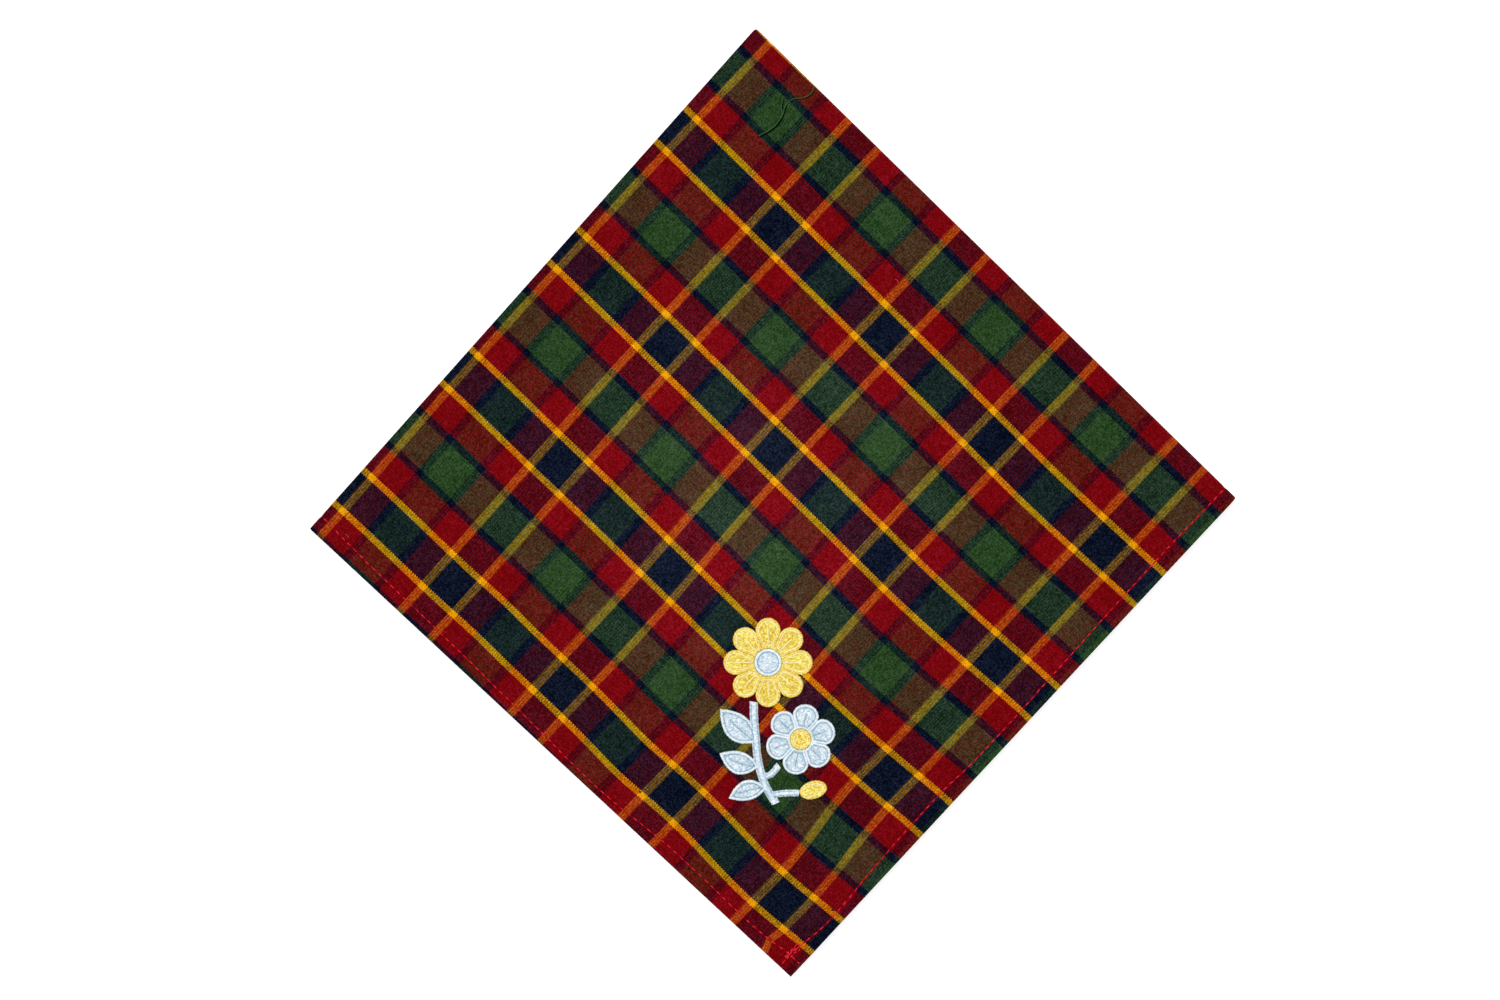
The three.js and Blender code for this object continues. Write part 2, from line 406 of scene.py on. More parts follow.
    def folded_point(self, second: Station, first: Station, right_side: bool) -> Vector:
        """Place one point of the folded sheet.

        Args:
            second: The station across the second fold.
            first: The station across the first fold.
            right_side: Whether the point is on the right side of the cloth.

        Returns:
            The point.
        """
        run_v = self.side - self.first_reach - self.slip(Hem.RIGHT, first, second)
        run_u = self.side - self.second_reach - self.slip(Hem.LEFT, second, first)
        plain_v = self.first_reach + first.share * run_v
        plain_u = self.second_reach + second.share * run_u
        right, wrong = self.faces((second.to_edge, first.to_edge), plain_u, plain_v)
        offset = right if right_side else wrong
        turn = self.first_radius + offset
        reach = self.pitch + turn * math.cos(first.angle)
        v = plain_v - turn * math.sin(first.angle)
        u = plain_u - reach * math.sin(second.angle)
        flat = self.pitch + self.first_radius * math.cos(first.angle)
        above = self.middle + flat * math.cos(second.angle) - self.half
        lift = 1 + self.rise(u, v) / (self.pile_height - self.thickness)
        x, y = self.place(u, v)
        z = self.half + above * lift + offset * math.cos(first.angle) * math.cos(second.angle)
        return Vector((x, y, z))

    def weave_place(self, second: Station, first: Station) -> Point:
        """Find which warp and weft yarns cross at one point of the sheet.

        Args:
            second: The station across the second fold.
            first: The station across the first fold.

        Returns:
            The place in the cloth's own map, from 0 to 1 each way.
        """
        u, v = second.along, first.along
        handled = smoothstep(u, self.handled_from, 0) * smoothstep(v, self.handled_from, 0)
        true_u = u - handled * swelling(PULLS_ACROSS_WARP, u, v)
        true_v = v - handled * swelling(PULLS_ACROSS_WEFT, u, v)
        return 0.5 + true_u / self.flat_size, 0.5 + true_v / self.flat_size

    def build(self, finish: Material) -> Piece:
        """Make the cloth from one flat grid, given its thickness and folded.

        Args:
            finish: The woven cotton.

        Returns:
            The cloth.
        """
        seconds = self.stations(self.second_reach)
        firsts = self.stations(self.first_reach)
        cells = len(seconds) - 1
        cloth = bmesh.new()
        bmesh.ops.create_grid(cloth, x_segments=cells, y_segments=cells, size=1.0)
        bmesh.ops.solidify(cloth, geom=cloth.faces[:], thickness=0.1)
        weave = cloth.loops.layers.uv.new(WEAVE_MAP)
        middle = sum(vert.co.z for vert in cloth.verts) / len(cloth.verts)
        lines_of = {
            vert.index: tuple(round((part + 1) / 2 * cells) for part in vert.co.xy)
            for vert in cloth.verts
        }
        places = {
            (i, j): self.weave_place(seconds[i], firsts[j]) for i, j in set(lines_of.values())
        }
        for face in cloth.faces:
            face.smooth = True
            for loop in face.loops:
                loop[weave].uv = places[lines_of[loop.vert.index]]
        for vert in cloth.verts:
            i, j = lines_of[vert.index]
            vert.co = self.folded_point(seconds[i], firsts[j], vert.co.z > middle) * MM
        if cloth.calc_volume(signed=True) < 0:
            bmesh.ops.reverse_faces(cloth, faces=cloth.faces[:])
        return finished("kerchief_cloth", cloth, [finish])


def finished(name: str, mesh: bmesh.types.BMesh, finishes: Sequence[Material]) -> Piece:
    """Turn a bmesh into an object of the scene.

    Args:
        name: The piece's name.
        mesh: Its shape, in metres. It is freed.
        finishes: Its materials, in slot order.

    Returns:
        The object, at the origin.
    """
    data = bpy.data.meshes.new(name)
    mesh.to_mesh(data)
    mesh.free()
    for finish in finishes:
        data.materials.append(finish)
    piece = bpy.data.objects.new(name, data)
    bpy.context.scene.collection.objects.link(piece)
    return piece


class Shader:
    """A new material, with short calls that add a node and feed its sockets."""

    def __init__(self, name: str) -> None:
        """Start a material with its Principled surface.

        Args:
            name: The material's name.
        """
        self.material = bpy.data.materials.new(name)
        self.material.use_nodes = True
        self.tree = self.material.node_tree
        self.surface = self.tree.nodes["Principled BSDF"]

    def feed(self, node: bpy.types.Node, inputs: dict[Any, Any]) -> None:
        """Link or set some of a node's sockets.

        Args:
            node: The node.
            inputs: What feeds each socket, by the socket's name or number.
        """
        for socket, value in inputs.items():
            if isinstance(value, Socket):
                self.tree.links.new(value, node.inputs[socket])
            else:
                node.inputs[socket].default_value = value

    def add(self, kind: str, inputs: dict[Any, Any], **settings: Any) -> bpy.types.Node:
        """Add one node.

        Args:
            kind: The node's type.
            inputs: What feeds each socket, by the socket's name or number.
            settings: The node's own settings.

        Returns:
            The node.
        """
        node = self.tree.nodes.new(kind)
        for setting, value in settings.items():
            setattr(node, setting, value)
        self.feed(node, inputs)
        return node

    def math(self, operation: str, *values: Any, clamp: bool = False) -> Socket:
        """Add a Math node and return its result."""
        inputs = dict(enumerate(values))
        return self.add("ShaderNodeMath", inputs, operation=operation, use_clamp=clamp).outputs[0]

    def mix(self, share: Any, low: Any, high: Any, **settings: Any) -> Socket:
        """Add a colour Mix node and return its result."""
        inputs = {0: share, 6: low, 7: high}
        return self.add("ShaderNodeMix", inputs, data_type="RGBA", **settings).outputs[2]

    def noise(self, vector: Any, scale: float, detail: float = 1.0) -> Socket:
        """Add a Noise texture and return its value, about 0.5."""
        inputs = {"Vector": vector, "Scale": scale, "Detail": detail}
        return self.add("ShaderNodeTexNoise", inputs).outputs["Fac"]

    def vector(self, x: Any, y: Any, z: Any) -> Socket:
        """Join three numbers into a vector."""
        return self.add("ShaderNodeCombineXYZ", {0: x, 1: y, 2: z}).outputs[0]

    def cell(self, x: Any, y: Any, size: Point, seed: float) -> Socket:
        """Give every cell of the given size its own random number from 0 to 1."""
        parts = (self.math("FLOOR", self.math("DIVIDE", *pair)) for pair in zip((x, y), size))
        return self.add("ShaderNodeTexWhiteNoise", {"Vector": self.vector(*parts, seed)}).outputs[0]

    def swing(self, value: Any, reach: float, middle: float = 0.0) -> Socket:
        """Turn a number about 0.5 into one about middle, with the given whole reach."""
        return self.math("MULTIPLY_ADD", value, reach, middle - reach / 2)

    def steps(self, place: Any, rows: Sequence[tuple[float, Triple]]) -> Socket:
        """Add a colour ramp of plain steps.

        Args:
            place: What it is looked up by, from 0 to 1.
            rows: Where each colour starts, and the colour.

        Returns:
            The colour.
        """
        node = self.add("ShaderNodeValToRGB", {0: place})
        ramp = node.color_ramp
        ramp.interpolation = "CONSTANT"
        while len(ramp.elements) < len(rows):
            ramp.elements.new(0.5)
        for element, (start, colour) in zip(ramp.elements, rows):
            element.position = start
            element.color = (*colour, 1.0)
        return node.outputs["Color"]

    def finish(
        self, colour: Any, ridges: Any, bump: Point, roughness: float, specular: float
    ) -> Material:
        """Dress the surface.

        Args:
            colour: Its colour.
            ridges: The height of its fine relief.
            bump: The relief's strength and its depth.
            roughness: Its roughness.
            specular: Its specular level.

        Returns:
            The material.
        """
        relief = {"Height": ridges, "Strength": bump[0], "Distance": bump[1] * MM}
        self.feed(self.surface, {
            "Base Color": colour,
            "Normal": self.add("ShaderNodeBump", relief).outputs[0],
            "Roughness": roughness,
            "Specular IOR Level": specular,
        })
        return self.material


class Dye(Enum):
    """The dyed yarns of the check."""

    RED = "red"
    GREEN = "green"
    NAVY = "navy"
    GOLD = "gold"
    EDGE = "edge navy"


@dataclass(frozen=True)
class YarnSet:
    """The warp or the weft: its pitch, where its count starts, its stripes and its dyes.

    The dyes are colours as a screen shows them, from 0 to 255.
    """

    pitch: float
    start: float
    stripes: tuple[tuple[Dye, int], ...]
    dyes: dict[Dye, Triple]

    def repeat(self) -> int:
        """Count the yarns of one repeat."""
        return sum(count for _, count in self.stripes)

    def counted(self, shader: Shader, part: Any, flat_size: float) -> Socket:
        """Count the yarns along one side of the cloth's own map."""
        first = -(flat_size / 2 + self.start) / self.pitch
        return shader.math("MULTIPLY_ADD", part, flat_size / self.pitch, first)

    def rows(self) -> list[tuple[float, Triple]]:
        """List where each stripe starts in the repeat, and its colour from 0 to 1."""
        starts = (sum(yarns for _, yarns in self.stripes[:i]) for i in range(len(self.stripes)))
        return [
            (start / self.repeat(), tuple(part / 255 for part in self.dyes[dye]))
            for start, (dye, _) in zip(starts, self.stripes)
        ]


WARP = YarnSet(
    pitch=0.3168,
    start=-2.49,
    stripes=(
        (Dye.RED, 34), (Dye.EDGE, 9), (Dye.GREEN, 46), (Dye.EDGE, 9),
        (Dye.RED, 34), (Dye.GOLD, 8), (Dye.NAVY, 45), (Dye.GOLD, 8),
    ),
    dyes={
        Dye.RED: (125, 8, 26),
        Dye.GREEN: (50, 73, 49),
        Dye.NAVY: (21, 27, 50),
        Dye.GOLD: (235, 158, 13),
        Dye.EDGE: (15, 23, 47),
    },
)

WEFT = YarnSet(
    pitch=0.5227,
    start=6.58,
    stripes=(
        (Dye.RED, 19), (Dye.EDGE, 6), (Dye.GREEN, 25), (Dye.EDGE, 6),
        (Dye.RED, 19), (Dye.GOLD, 6), (Dye.NAVY, 24), (Dye.GOLD, 6),
    ),
    dyes={
        Dye.RED: (98, 0, 0),
        Dye.GREEN: (30, 57, 15),
        Dye.NAVY: (3, 13, 18),
        Dye.GOLD: (209, 139, 3),
        Dye.EDGE: (0, 10, 17),
    },
)


@dataclass(frozen=True)
class CheckCotton:
    """Matt plain-weave cotton, dyed in the yarn and woven in a check.

    The sizes of grain and slubs are counts of warp and of weft yarns.
    """

    flat_size: float = 508.0
    warp_share: float = 0.62
    crossing: float = 0.28
    rib: float = 0.1
    share_grain: float = 0.3
    share_drift: float = 0.12
    tooth: float = 0.5
    gamma: float = 2.2
    light: float = 0.9
    yarn_shade: float = 0.2
    yarn_spread: float = 3.37
    yarn_change: float = 0.035
    fibre_shade: float = 0.16
    grain: float = 0.112
    grain_size: Point = (1.5, 0.9)
    slub: float = 0.02
    warp_slub: Point = (2.0, 5.0)
    weft_slub: Point = (9.0, 1.2)
    drift: float = 0.055
    # A painted sheen: a broad, faint pool of light on the middle of the upper layer.
    sheen_paleness: float = 0.034
    sheen_middle: Point = (131.6, 122.7)
    sheen_reach: float = 115.0
    fibre_length: float = 0.55
    drift_length: float = 9.0
    roughness: float = 0.9
    specular: float = 0.04
    bump: Point = (0.5, 0.1)

    def painted_sheen(self, shader: Shader, weave: Any) -> Socket:
        """Paint a faint pale sheen, a broad pool of light, round one place of the upper layer.

        Args:
            shader: The material's nodes.
            weave: The cloth's own map.

        Returns:
            How much paler the painted sheen makes the cloth.
        """
        middle = (*(0.5 + part / self.flat_size for part in self.sheen_middle), 0.0)
        away = shader.add("ShaderNodeVectorMath", {0: weave, 1: middle}, operation="DISTANCE")
        inputs = {
            "Value": away.outputs["Value"],
            "From Min": self.sheen_reach / self.flat_size,
            "From Max": 0.0,
            "To Min": 0.0,
            "To Max": self.sheen_paleness,
        }
        node = shader.add("ShaderNodeMapRange", inputs, interpolation_type="SMOOTHSTEP")
        return node.outputs["Result"]

    def make(self) -> Material:
        """Build the woven material.

        Returns:
            The material, which reads the cloth's own map.
        """
        shader = Shader("check_cotton")
        weave = shader.add("ShaderNodeUVMap", {}, uv_map=WEAVE_MAP).outputs[0]
        across, down, _ = shader.add("ShaderNodeSeparateXYZ", {0: weave}).outputs
        ends = WARP.counted(shader, across, self.flat_size)
        picks = WEFT.counted(shader, down, self.flat_size)
        over_warp, over_weft = (
            shader.math("SINE", shader.math("MULTIPLY", count, math.pi)) for count in (ends, picks)
        )
        crossing = shader.math("MULTIPLY", over_warp, over_weft)
        flat = shader.add(
            "ShaderNodeVectorMath", {0: weave, "Scale": self.flat_size}, operation="SCALE"
        ).outputs[0]
        fibre = shader.noise(flat, 1 / self.fibre_length, 3.0)
        share_patch, pale_patch = (
            shader.noise(shader.vector(across, down, seed), self.flat_size / self.drift_length)
            for seed in (0.3, 0.7)
        )
        share = shader.swing(share_patch, self.share_drift, self.warp_share)
        uneven = shader.swing(shader.cell(ends, picks, self.grain_size, 2.0), self.share_grain)
        share = shader.math("ADD", share, uneven)
        share = shader.math("MULTIPLY_ADD", over_weft, self.rib, share)
        share = shader.math("MULTIPLY_ADD", crossing, self.crossing, share, clamp=True)
        colours = []
        for count, other, wave, yarns, seed in (
            (ends, picks, over_weft, WARP, 1.7),
            (picks, ends, over_warp, WEFT, 8.3),
        ):
            ragged = shader.math("MULTIPLY_ADD", wave, self.tooth, count)
            place = shader.math("FRACT", shader.math("DIVIDE", ragged, float(yarns.repeat())))
            plain = shader.steps(place, yarns.rows())
            yarn = shader.math("MULTIPLY", shader.math("FLOOR", count), self.yarn_spread)
            along = shader.math("MULTIPLY", other, self.yarn_change)
            tone = shader.noise(shader.vector(yarn, along, seed), 1.0, 2.0)
            tone = shader.swing(tone, self.yarn_shade, 1.0)
            colours.append(shader.mix(1.0, plain, tone, blend_type="MULTIPLY"))
        woven = shader.mix(share, colours[1], colours[0])
        speckle = shader.swing(
            shader.cell(ends, picks, self.grain_size, 9.0), self.fibre_shade, 1.0
        )
        toned = shader.mix(1.0, woven, speckle, blend_type="MULTIPLY")
        # The fuzz adds random grain and slubs, and the painted sheen round the middle of the upper
        # layer.
        fuzz = shader.math("ADD", shader.swing(pale_patch, self.drift), self.painted_sheen(shader, weave))
        for size, seed, reach in (
            (self.grain_size, 5.0, self.grain),
            (self.warp_slub, 6.0, self.slub),
            (self.weft_slub, 7.0, self.slub),
        ):
            patch = shader.swing(shader.cell(ends, picks, size, seed), reach)
            fuzz = shader.math("ADD", fuzz, patch)
        toned = shader.mix(1.0, toned, fuzz, blend_type="ADD", clamp_result=True)
        linear = shader.add("ShaderNodeGamma", {0: toned, 1: self.gamma}).outputs[0]
        light = (self.light, self.light, self.light, 1.0)
        lit = shader.mix(1.0, linear, light, blend_type="MULTIPLY")
        ridges = shader.math("MULTIPLY_ADD", crossing, 0.5, fibre)
        return shader.finish(lit, ridges, self.bump, self.roughness, self.specular)


@dataclass(frozen=True)
class Thread:
    """Spun thread: its deep and its pale shade, how they mix, and its shine."""

    name: str
    deep: Triple
    pale: Triple
    specular: float = 0.2
    speckle: float = 1.0
    speckle_size: Point = (0.64, 0.46)
    drift: float = 0.5
    drift_length: float = 6.0
    fibre_length: float = 0.6
    roughness: float = 0.5
    bump: Point = (0.4, 0.06)

    def make(self) -> Material:
        """Build the thread's material.

        Returns:
            The material, speckled by small cells of Object coordinates.
        """
        shader = Shader(self.name)
        place = shader.add("ShaderNodeTexCoord", {}).outputs["Object"]
        fine = shader.noise(place, 1 / (self.fibre_length * MM), 2.0)
        broad = shader.noise(place, 1 / (self.drift_length * MM), 1.0)
        x, y, _ = shader.add("ShaderNodeSeparateXYZ", {0: place}).outputs
        cell = shader.cell(x, y, (self.speckle_size[0] * MM, self.speckle_size[1] * MM), 4.0)
        share = shader.swing(cell, self.speckle, 0.5)
        share = shader.math("ADD", share, shader.swing(broad, self.drift), clamp=True)
        tinted = shader.mix(share, (*self.deep, 1.0), (*self.pale, 1.0))
        return shader.finish(tinted, fine, self.bump, self.roughness, self.specular)


class Ply(Enum):
    """The materials of the sewing threads, in slot order. On the topstitching the pale slot is
    partly a painted highlight and the dark slot is painted shade; on the loose thread the dark slot
    is a painted shadow, and it also colours the dark knots.
    """

    PALE = 0
    DARK = 1
    LINT = 2


class Stitch(Enum):
    """The kinds of embroidery stitch.

    Each has its material's slot, its radius at the ends and in the middle, and the
    shares of its length at which its points lie.
    """

    FILL = (0, 0.1875, 0.25, (0.0, 0.2, 0.5, 0.8, 1.0))
    BORDER = (1, 0.2, 0.25, (0.0, 0.25, 0.5, 0.75, 1.0))
    SATIN = (0, 0.2, 0.25, (0.0, 0.15, 0.35, 0.65, 0.85, 1.0))
    LINE = (2, 0.16, 0.22, (0.0, 0.5, 1.0))

    def __init__(self, slot: int, thin: float, full: float, shares: Sequence[float]) -> None:
        """Work out the radii, and how far the stitch bows up at each share.

        Args:
            slot: The slot.
            thin: The radius at the ends.
            full: The radius in the middle.
            shares: The shares.
        """
        self.slot = slot
        self.bows = [(share, math.sin(math.pi * share)) for share in shares]
        self.radii = [thin + (full - thin) * bow for _, bow in self.bows]


class ThreadWork:
    """Threads gathered as open runs, and made one mesh."""

    def __init__(self, name: str, finishes: Sequence[Material]) -> None:
        """Start an empty piece of threads.

        Args:
            name: The piece's name.
            finishes: Its materials, in slot order.
        """
        self.name = name
        self.finishes = finishes
        self.curve = bpy.data.curves.new(name, "CURVE")
        self.curve.dimensions = "3D"
        self.curve.bevel_depth = MM
        self.curve.bevel_resolution = 1
        self.curve.use_fill_caps = True
        for finish in finishes:
            self.curve.materials.append(finish)
        self.pads = bmesh.new()

    def run(self, route: Sequence[Vector], radii: Sequence[float], slot: int) -> None:
        """Lay one thread.

        Args:
            route: Its middle line.
            radii: Its radius at each point of the line.
            slot: Which of the piece's materials it takes.
        """
        spline = self.curve.splines.new("POLY")
        spline.points.add(len(route) - 1)
        spline.points.foreach_set("co", [part for point in route for part in (*(point * MM), 1.0)])
        spline.points.foreach_set("radius", radii)
        spline.material_index = slot
        spline.use_smooth = True

    def pad(self, loop: Loop, low: float, high: float) -> None:
        """Lay a flat pad of stitching under the threads.

        Args:
            loop: Its outline.
            low: The height of its underside.
            high: The height of its upper side.
        """
        rim = [Vector((spot.real, spot.imag, low)) * MM for spot in loop]
        base = self.pads.faces.new([self.pads.verts.new(place) for place in rim])
        if base.normal.z > 0:
            base.normal_flip()
        grown = bmesh.ops.extrude_face_region(self.pads, geom=[base], use_keep_orig=True)["geom"]
        raised = [part for part in grown if isinstance(part, bmesh.types.BMVert)]
        bmesh.ops.translate(self.pads, verts=raised, vec=(0, 0, (high - low) * MM))
        bmesh.ops.recalc_face_normals(self.pads, faces=self.pads.faces[:])

    def build(self) -> Piece:
        """Turn the gathered threads and pads into one piece.

        Returns:
            The piece.
        """
        carrier = bpy.data.objects.new(self.name + "_route", self.curve)
        bpy.context.scene.collection.objects.link(carrier)
        graph = bpy.context.evaluated_depsgraph_get()
        threads = bpy.data.meshes.new_from_object(carrier.evaluated_get(graph))
        self.pads.from_mesh(threads)
        bpy.data.objects.remove(carrier)
        bpy.data.curves.remove(self.curve)
        bpy.data.meshes.remove(threads)
        return finished(self.name, self.pads, self.finishes)


def dress(piece: Piece, slot: str, *nodes: str) -> Piece:
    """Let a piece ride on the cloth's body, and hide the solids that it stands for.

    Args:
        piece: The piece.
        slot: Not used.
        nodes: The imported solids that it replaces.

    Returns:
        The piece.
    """
    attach(piece, BODY)
    if nodes:
        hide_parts(*nodes)
    LOG.info("%s: %d faces", piece.name, len(piece.data.polygons))
    return piece


@dataclass
class Topstitching:
    """The red stitches along the hems, and the back-tack in their corner.

    Each stitch is a sunken thread from hole to hole in a darker red, which is painted shade, with a
    brighter red one over its middle that is partly a painted highlight.
    The shares say how far along the stitch the points of each lie. The pairs are the
    least and the most of what varies from stitch to stitch.
    """

    cloth: Kerchief
    finishes: Sequence[Material]
    length: float = 3.25
    # The upper run is partly a painted highlight; the sunk run below is painted shade.
    highlight_radius: float = 0.22
    highlight_shares: tuple[float, ...] = (0.22, 0.3, 0.4, 0.5, 0.6, 0.7, 0.78)
    sunk_radius: float = 0.18
    sunk_shares: tuple[float, ...] = (0.0, 0.1, 0.3, 0.5, 0.7, 0.9, 1.0)
    slimness: float = 0.4
    stand: float = 0.26
    sink: float = 0.088
    step: Point = (0.94, 1.06)
    arch: Point = (0.7, 1.3)
    jitter: float = 0.12
    stops: dict[Hem, float] = field(default_factory=lambda: {Hem.LEFT: 253.3, Hem.RIGHT: 253.5})
    tack_start: Point = (243.0, 248.0)
    tack_end: Point = (249.9, 247.5)
    tack_rows: tuple[float, ...] = (-1.1, -0.5, 0.0, 0.5, 1.1)
    tack_late: Point = (-0.6, 1.0)
    tack_early: Point = (0.0, 1.4)
    tack_stitch: float = 2.1
    tack_step: Point = (0.75, 1.25)
    tack_lap: float = 0.9
    tack_taper: float = 0.5
    tack_aside: Point = (-0.5, 0.5)
    tack_arch: Point = (0.8, 2.6)
    pick: random.Random = field(default_factory=lambda: random.Random(4))

    def __post_init__(self) -> None:
        """Start the piece's threads."""
        self.work = ThreadWork("topstitching", self.finishes)

    def stitch(self, start: Vector, end: Vector, arch: float) -> None:
        """Lay one stitch from hole to hole.

        Args:
            start: Its first hole, on the cloth.
            end: Its last hole.
            arch: How far it stands up, against a plain stitch.
        """
        # The sunk run's darker red is painted shade; the pale run over the middle is partly a
        # painted highlight.
        for ply, radius, shares in (
            (Ply.DARK, self.sunk_radius, self.sunk_shares),
            (Ply.PALE, self.highlight_radius, self.highlight_shares),
        ):
            route, radii = [], []
            for share in shares:
                bow = math.sin(math.pi * share)
                point = start.lerp(end, share)
                point.z += arch * self.stand * bow - self.sink * (1 - bow)
                route.append(point)
                inner = (share - shares[0]) / (shares[-1] - shares[0])
                full = math.sin(math.pi * inner) ** 0.5
                radii.append(radius * (1 - self.slimness + self.slimness * full))
            self.work.run(route, radii, ply.value)

    def hole(self, hem: Hem, along: float, aside: float) -> Vector:
        """Find a needle hole at a distance along a hem, a little aside of its seam."""
        inward = self.cloth.side - (self.cloth.seam_inset(hem, along) + aside)
        return self.cloth.over(*((inward, along) if hem is Hem.LEFT else (along, inward)))

    def seam(self, hem: Hem) -> None:
        """Sew one hem from its fold to its stop by the corner.

        Args:
            hem: The hem.
        """
        along = 1.0
        while along < self.stops[hem] - 1:
            step = self.length * self.pick.uniform(*self.step)
            aside = self.pick.uniform(-self.jitter, self.jitter)
            end = self.hole(hem, min(along + step, self.stops[hem]), -aside)
            self.stitch(self.hole(hem, along, aside), end, self.pick.uniform(*self.arch))
            along += step

    def back_tack(self) -> None:
        """Sew a few crowded rows over each other where the seams meet."""
        pick = self.pick
        start, end = Vector(self.tack_start), Vector(self.tack_end)
        along = (end - start).normalized()
        aside = Vector((-along.y, along.x))
        for row in self.tack_rows:
            way = pick.uniform(*self.tack_late)
            finish = (end - start).length - pick.uniform(*self.tack_early)
            while way < finish:
                step = self.tack_stitch * pick.uniform(*self.tack_step)
                taper = 1 - self.tack_taper * way / finish
                holes = []
                for place in (way, way + step):
                    out = row * taper + pick.uniform(*self.tack_aside)
                    holes.append(self.cloth.over(*(start + along * place + aside * out)))
                self.stitch(*holes, pick.uniform(*self.tack_arch))
                way += step * self.tack_lap

    def build(self) -> Piece:
        """Sew both hems and the back-tack.

        Returns:
            The stitching.
        """
        for hem in Hem:
            self.seam(hem)
        self.back_tack()
        return dress(self.work.build(), "red_thread")


@dataclass
class LooseThread:
    """A green thread end near the folded corner, with a painted shadow beside it, a few knots and
    specks of lint.

    The columns of a route are x, y and how far the thread stands off the cloth, where
    each 0.2 is one more stand. A shape is a short route about a knot or a speck.
    """

    cloth: Kerchief
    finishes: Sequence[Material]
    pale_radius: Point = (0.14, 0.2)
    # The dark strand is a painted shadow, laid beside the thread and a little lower.
    shadow_radius: Point = (0.06, 0.36)
    shadow_aside: Triple = (0.40, -0.36, -0.08)
    route: tuple[Triple, ...] = (
        (15.7, 159.6, -0.3), (15.5, 158.3, 0.1), (14.6, 156.7, 0.3), (12.7, 155.4, 0.4),
        (10.5, 154.8, 0.4), (8.3, 154.7, 0.0), (6.6, 154.0, -0.3), (5.1, 152.6, -0.1),
        (4.3, 150.9, 0.4), (3.8, 149.0, 0.5), (2.7, 146.8, 0.6), (0.7, 144.3, 0.6),
        (-1.7, 142.4, 0.4), (-3.7, 141.4, 0.1), (-5.4, 140.4, -0.2),
    )
    fork: tuple[Triple, ...] = (
        (3.9, 155.3, -0.2), (3.4, 153.4, 0.3), (3.2, 151.6, 0.4), (3.4, 150.2, 0.3),
        (3.8, 149.0, 0.1),
    )
    stand: float = 0.12
    steps: int = 6
    knots: tuple[Point, ...] = ((-51.05, -111.18), (-32.26, -140.44), (22.78, -156.35))
    knot_shape: tuple[Triple, ...] = ((-0.3, 0.2, 0.1), (0.3, -0.2, 0.1))
    knot_radius: float = 0.3
    lint: tuple[Point, ...] = ((47.55, 84.79), (-163.22, -13.0))
    lint_shape: tuple[Triple, ...] = ((-0.8, 0.7, 0.1), (0.0, 0.3, 0.2), (0.6, -0.8, 0.1))
    lint_radius: float = 0.075

    def laid(self, rows: Sequence[Triple]) -> list[Vector]:
        """Lay a smooth line through the rows of a route, on the cloth.

        Args:
            rows: The rows.

        Returns:
            Its points.
        """
        line = smooth_line([Vector(row) for row in (rows[0], *rows, rows[-1])], self.steps)
        for point in line:
            top = self.cloth.top(*self.cloth.distances(point.x, point.y))
            point.z = top + self.stand * (1 + 5 * point.z)
        return line

    def build(self) -> Piece:
        """Lay the thread and its fork, each with a near-black strand beside it as a painted shadow,
        then the specks.

        Returns:
            The piece.
        """
        work = ThreadWork("loose_thread", self.finishes)
        for rows in (self.route, self.fork):
            line = self.laid(rows)
            # A near-black strand beside the thread, a painted shadow.
            under = [point + Vector(self.shadow_aside) for point in line]
            for ply, route, girth in (
                (Ply.PALE, line, self.pale_radius),
                (Ply.DARK, under, self.shadow_radius),
            ):
                table = ((route[-1].y, girth[1]), (route[0].y, girth[0]))
                work.run(route, [between(table, point.y) for point in route], ply.value)
        for places, shape, radius, ply in (
            (self.knots, self.knot_shape, self.knot_radius, Ply.DARK),
            (self.lint, self.lint_shape, self.lint_radius, Ply.LINT),
        ):
            for x, y in places:
                speck = self.laid([(x + dx, y + dy, stand) for dx, dy, stand in shape])
                work.run(speck, [radius] * len(speck), ply.value)
        return dress(work.build(), "green_thread")


def sides(loop: Loop) -> Iterable[tuple[complex, complex]]:
    """Pair each corner of a closed outline with the next."""
    return zip(loop, loop[1:] + loop[:1])


def nearest_edge(loop: Loop, spot: complex) -> float:
    """Measure how far a spot is from a closed outline.

    Args:
        loop: The outline.
        spot: The spot.

    Returns:
        The distance.
    """
    best = math.inf
    for start, end in sides(loop):
        edge, away = end - start, spot - start
        share = (away * edge.conjugate()).real / (abs(edge) ** 2 or 1.0)
        best = min(best, abs(away - edge * max(0.0, min(1.0, share))))
    return best


def evenly(line: Loop, pitch: float, closed: bool) -> Loop:
    """Space spots evenly along a line.

    Args:
        line: Its corners.
        pitch: The distance between spots.
        closed: Whether the line returns to its start.

    Returns:
        The spots.
    """
    corners = line + line[:1] if closed else line
    spans = [abs(end - start) for start, end in zip(corners, corners[1:])]
    whole = sum(spans)
    count = max(2, round(whole / pitch))
    spots = []
    span, passed = 0, 0.0
    for way in (whole * i / count for i in range(count if closed else count + 1)):
        while span < len(spans) - 1 and passed + spans[span] < way:
            passed += spans[span]
            span += 1
        share = (way - passed) / (spans[span] or 1.0)
        spots.append(corners[span] + (corners[span + 1] - corners[span]) * share)
    return spots


def headings(spots: Loop, closed: bool) -> list[tuple[complex, complex]]:
    """Pair each spot of a line with the line's direction there.

    Args:
        spots: The spots.
        closed: Whether the line returns to its start.

    Returns:
        The pairs. Each direction has length 1.
    """
    behind = (spots[-1:] if closed else spots[:1]) + spots[:-1]
    ahead = spots[1:] + (spots[:1] if closed else spots[-1:])
    ways = [after - before for before, after in zip(behind, ahead)]
    return [(spot, way / (abs(way) or 1.0)) for spot, way in zip(spots, ways)]


